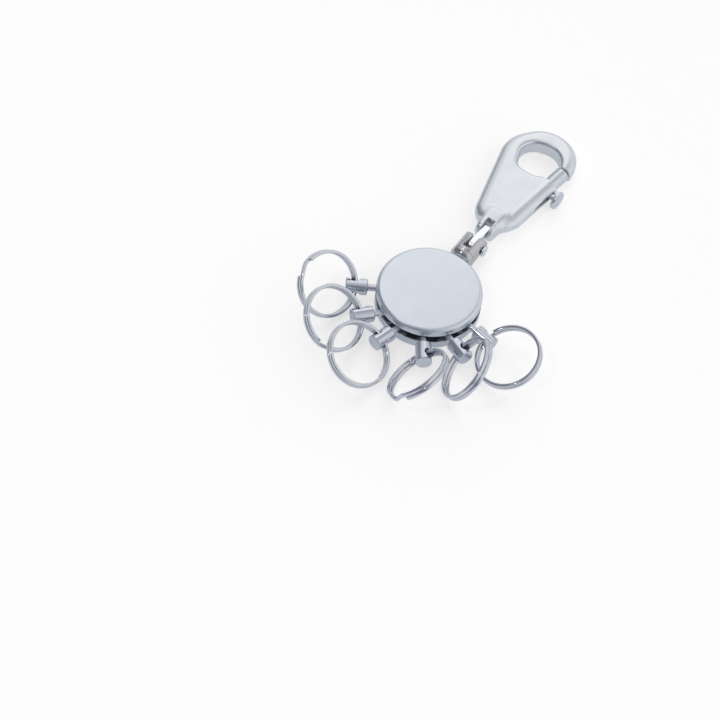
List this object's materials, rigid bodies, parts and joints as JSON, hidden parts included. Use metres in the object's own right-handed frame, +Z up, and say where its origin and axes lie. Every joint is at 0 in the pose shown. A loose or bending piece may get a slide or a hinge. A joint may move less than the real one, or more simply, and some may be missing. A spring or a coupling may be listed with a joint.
{
  "type": "belt key clip",
  "caption": "Round key hub whose sliding holders each carry a split ring, with a swivel, a link and a spring-bolt snap hook for a belt loop.",
  "frame": {"origin": "on the table under the middle of the round hub", "axes": "+Z up from the table, +Y from the hub towards the hook, +X to the right as the hook points away"},
  "size_m": [0.0699, 0.1133, 0.0172],
  "materials": {
    "satin_cover": "satin chrome plate, faint blue cast",
    "satin_hook": "satin chrome plate over die-cast zinc",
    "satin_bolt": "satin turned steel",
    "bright_rim": "polished rim, satin foot",
    "dark_core": "plain dark steel in the shade of the slot",
    "polished_clevis": "polished darker chrome",
    "bright_link": "bright polished chrome",
    "plain_hardware": "plain zinc-plated steel",
    "spring_wire": "drawn spring wire",
    "bead_steel": "smooth bearing steel",
    "holder_satin": "satin turned steel with faint tool lines",
    "ring_steel": "nickel-plated spring steel"
  },
  "bodies": {
    "hub": {"hub_base": "bright_rim", "hub_core": "dark_core", "hub_cover": "satin_cover", "cover_screw": "plain_hardware"},
    "swivel": {"clevis": "polished_clevis", "swivel_clip": "plain_hardware", "clevis_pin": "bright_link"},
    "link": {"link_bar": "bright_link"},
    "hook": {"hook_body": "satin_hook", "hook_pin": "bright_link", "gate_spring": "spring_wire"},
    "gate": {"gate_bolt": "satin_bolt", "thumb_stud": "satin_bolt"},
    "bead_1": {"glide_bead_1": "bead_steel"},
    "holder_1": {"key_holder_1": "holder_satin"},
    "ring_1": {"split_ring_1": "ring_steel"},
    "bead_2": {"glide_bead_2": "bead_steel"},
    "holder_2": {"key_holder_2": "holder_satin"},
    "ring_2": {"split_ring_2": "ring_steel"},
    "bead_3": {"glide_bead_3": "bead_steel"},
    "holder_3": {"key_holder_3": "holder_satin"},
    "ring_3": {"split_ring_3": "ring_steel"},
    "bead_4": {"glide_bead_4": "bead_steel"},
    "holder_4": {"key_holder_4": "holder_satin"},
    "ring_4": {"split_ring_4": "ring_steel"},
    "bead_5": {"glide_bead_5": "bead_steel"},
    "holder_5": {"key_holder_5": "holder_satin"},
    "ring_5": {"split_ring_5": "ring_steel"},
    "bead_6": {"glide_bead_6": "bead_steel"},
    "holder_6": {"key_holder_6": "holder_satin"},
    "ring_6": {"split_ring_6": "ring_steel"}
  },
  "joints": [
    {"name": "swivel_turn", "type": "hinge", "parent": "hub", "child": "swivel", "pos_m": [0, 0.015, 0.0044], "axis": [0, 1, 0], "continuous": true},
    {"name": "link_pivot", "type": "hinge", "parent": "swivel", "child": "link", "pos_m": [0, 0.023, 0.0044], "axis": [1, 0, 0], "range_deg": [-90, 90]},
    {"name": "hook_pivot", "type": "hinge", "parent": "link", "child": "hook", "pos_m": [0, 0.03148, 0.003], "axis": [-1, 0, 0], "range_deg": [-90, 90]},
    {"name": "gate_slide", "type": "slide", "parent": "hook", "child": "gate", "axis": [-0.1219, -0.9925, 0], "range_m": [0, 0.0065], "stiffness_N_per_m": 120, "springref_m": -0.004, "deforming": ["gate_spring"]},
    {"name": "glide_1", "type": "hinge", "parent": "hub", "child": "bead_1", "pos_m": [0, 0, 0.0044], "axis": [0, 0, -1], "range_deg": [-7, 8]},
    {"name": "spin_1", "type": "hinge", "parent": "bead_1", "child": "holder_1", "pos_m": [-0.01115, -0.0052, 0.0044], "axis": [-0.8572, -0.515, 0], "range_deg": [-40, 30]},
    {"name": "swing_1", "type": "hinge", "parent": "holder_1", "child": "ring_1", "pos_m": [-0.01869, -0.00973, 0.0044], "axis": [-0.4113, 0.6846, 0.6018], "range_deg": [-99, 6]},
    {"name": "glide_2", "type": "hinge", "parent": "hub", "child": "bead_2", "pos_m": [0, 0, 0.0044], "axis": [0, 0, -1], "range_deg": [-2.5, 7]},
    {"name": "spin_2", "type": "hinge", "parent": "bead_2", "child": "holder_2", "pos_m": [-0.00577, -0.01086, 0.0044], "axis": [0.6412, 0.7642, -0.0698], "range_deg": [-9, 70]},
    {"name": "swing_2", "type": "hinge", "parent": "holder_2", "child": "ring_2", "pos_m": [-0.01142, -0.01758, 0.00501], "axis": [-0.6553, 0.5926, 0.4683], "range_deg": [-9, 5]},
    {"name": "glide_3", "type": "hinge", "parent": "hub", "child": "bead_3", "pos_m": [0, 0, 0.0044], "axis": [0, 0, -1], "range_deg": [-0.8, 3]},
    {"name": "spin_3", "type": "hinge", "parent": "bead_3", "child": "holder_3", "pos_m": [-0.00043, -0.01229, 0.0044], "axis": [-0.2244, -0.972, 0.0698], "range_deg": [-95, 10]},
    {"name": "swing_3", "type": "hinge", "parent": "holder_3", "child": "ring_3", "pos_m": [-0.0024, -0.02085, 0.00501], "axis": [-0.836, 0.2288, 0.4988], "range_deg": [-5, 48]},
    {"name": "glide_4", "type": "hinge", "parent": "hub", "child": "bead_4", "pos_m": [0, 0, 0.0044], "axis": [0, 0, 1], "range_deg": [-1, 6]},
    {"name": "spin_4", "type": "hinge", "parent": "bead_4", "child": "holder_4", "pos_m": [0.00539, -0.01106, 0.0044], "axis": [-0.5433, 0.8366, -0.0698], "range_deg": [-90, 45]},
    {"name": "swing_4", "type": "hinge", "parent": "holder_4", "child": "ring_4", "pos_m": [0.01017, -0.01842, 0.00501], "axis": [-0.618, -0.4548, -0.6412], "range_deg": [-25, 6]},
    {"name": "glide_5", "type": "hinge", "parent": "hub", "child": "bead_5", "pos_m": [0, 0, 0.0044], "axis": [0, 0, 1], "range_deg": [-6, 3]},
    {"name": "spin_5", "type": "hinge", "parent": "bead_5", "child": "holder_5", "pos_m": [0.00982, -0.0074, 0.0044], "axis": [0.9041, -0.4216, 0.0698], "range_deg": [-45, 55]},
    {"name": "swing_5", "type": "hinge", "parent": "holder_5", "child": "ring_5", "pos_m": [0.01778, -0.01111, 0.00501], "axis": [0.242, 0.6397, 0.7296], "range_deg": [-16, 35]},
    {"name": "glide_6", "type": "hinge", "parent": "hub", "child": "bead_6", "pos_m": [0, 0, 0.0044], "axis": [0, 0, 1], "range_deg": [-3, 7]},
    {"name": "spin_6", "type": "hinge", "parent": "bead_6", "child": "holder_6", "pos_m": [0.01223, -0.00129, 0.0044], "axis": [0.9853, -0.1561, -0.0698], "range_deg": [-12, 125]},
    {"name": "swing_6", "type": "hinge", "parent": "holder_6", "child": "ring_6", "pos_m": [0.0209, -0.00266, 0.00379], "axis": [-0.1709, -0.9117, -0.3737], "range_deg": [-110, 15]}
  ]
}
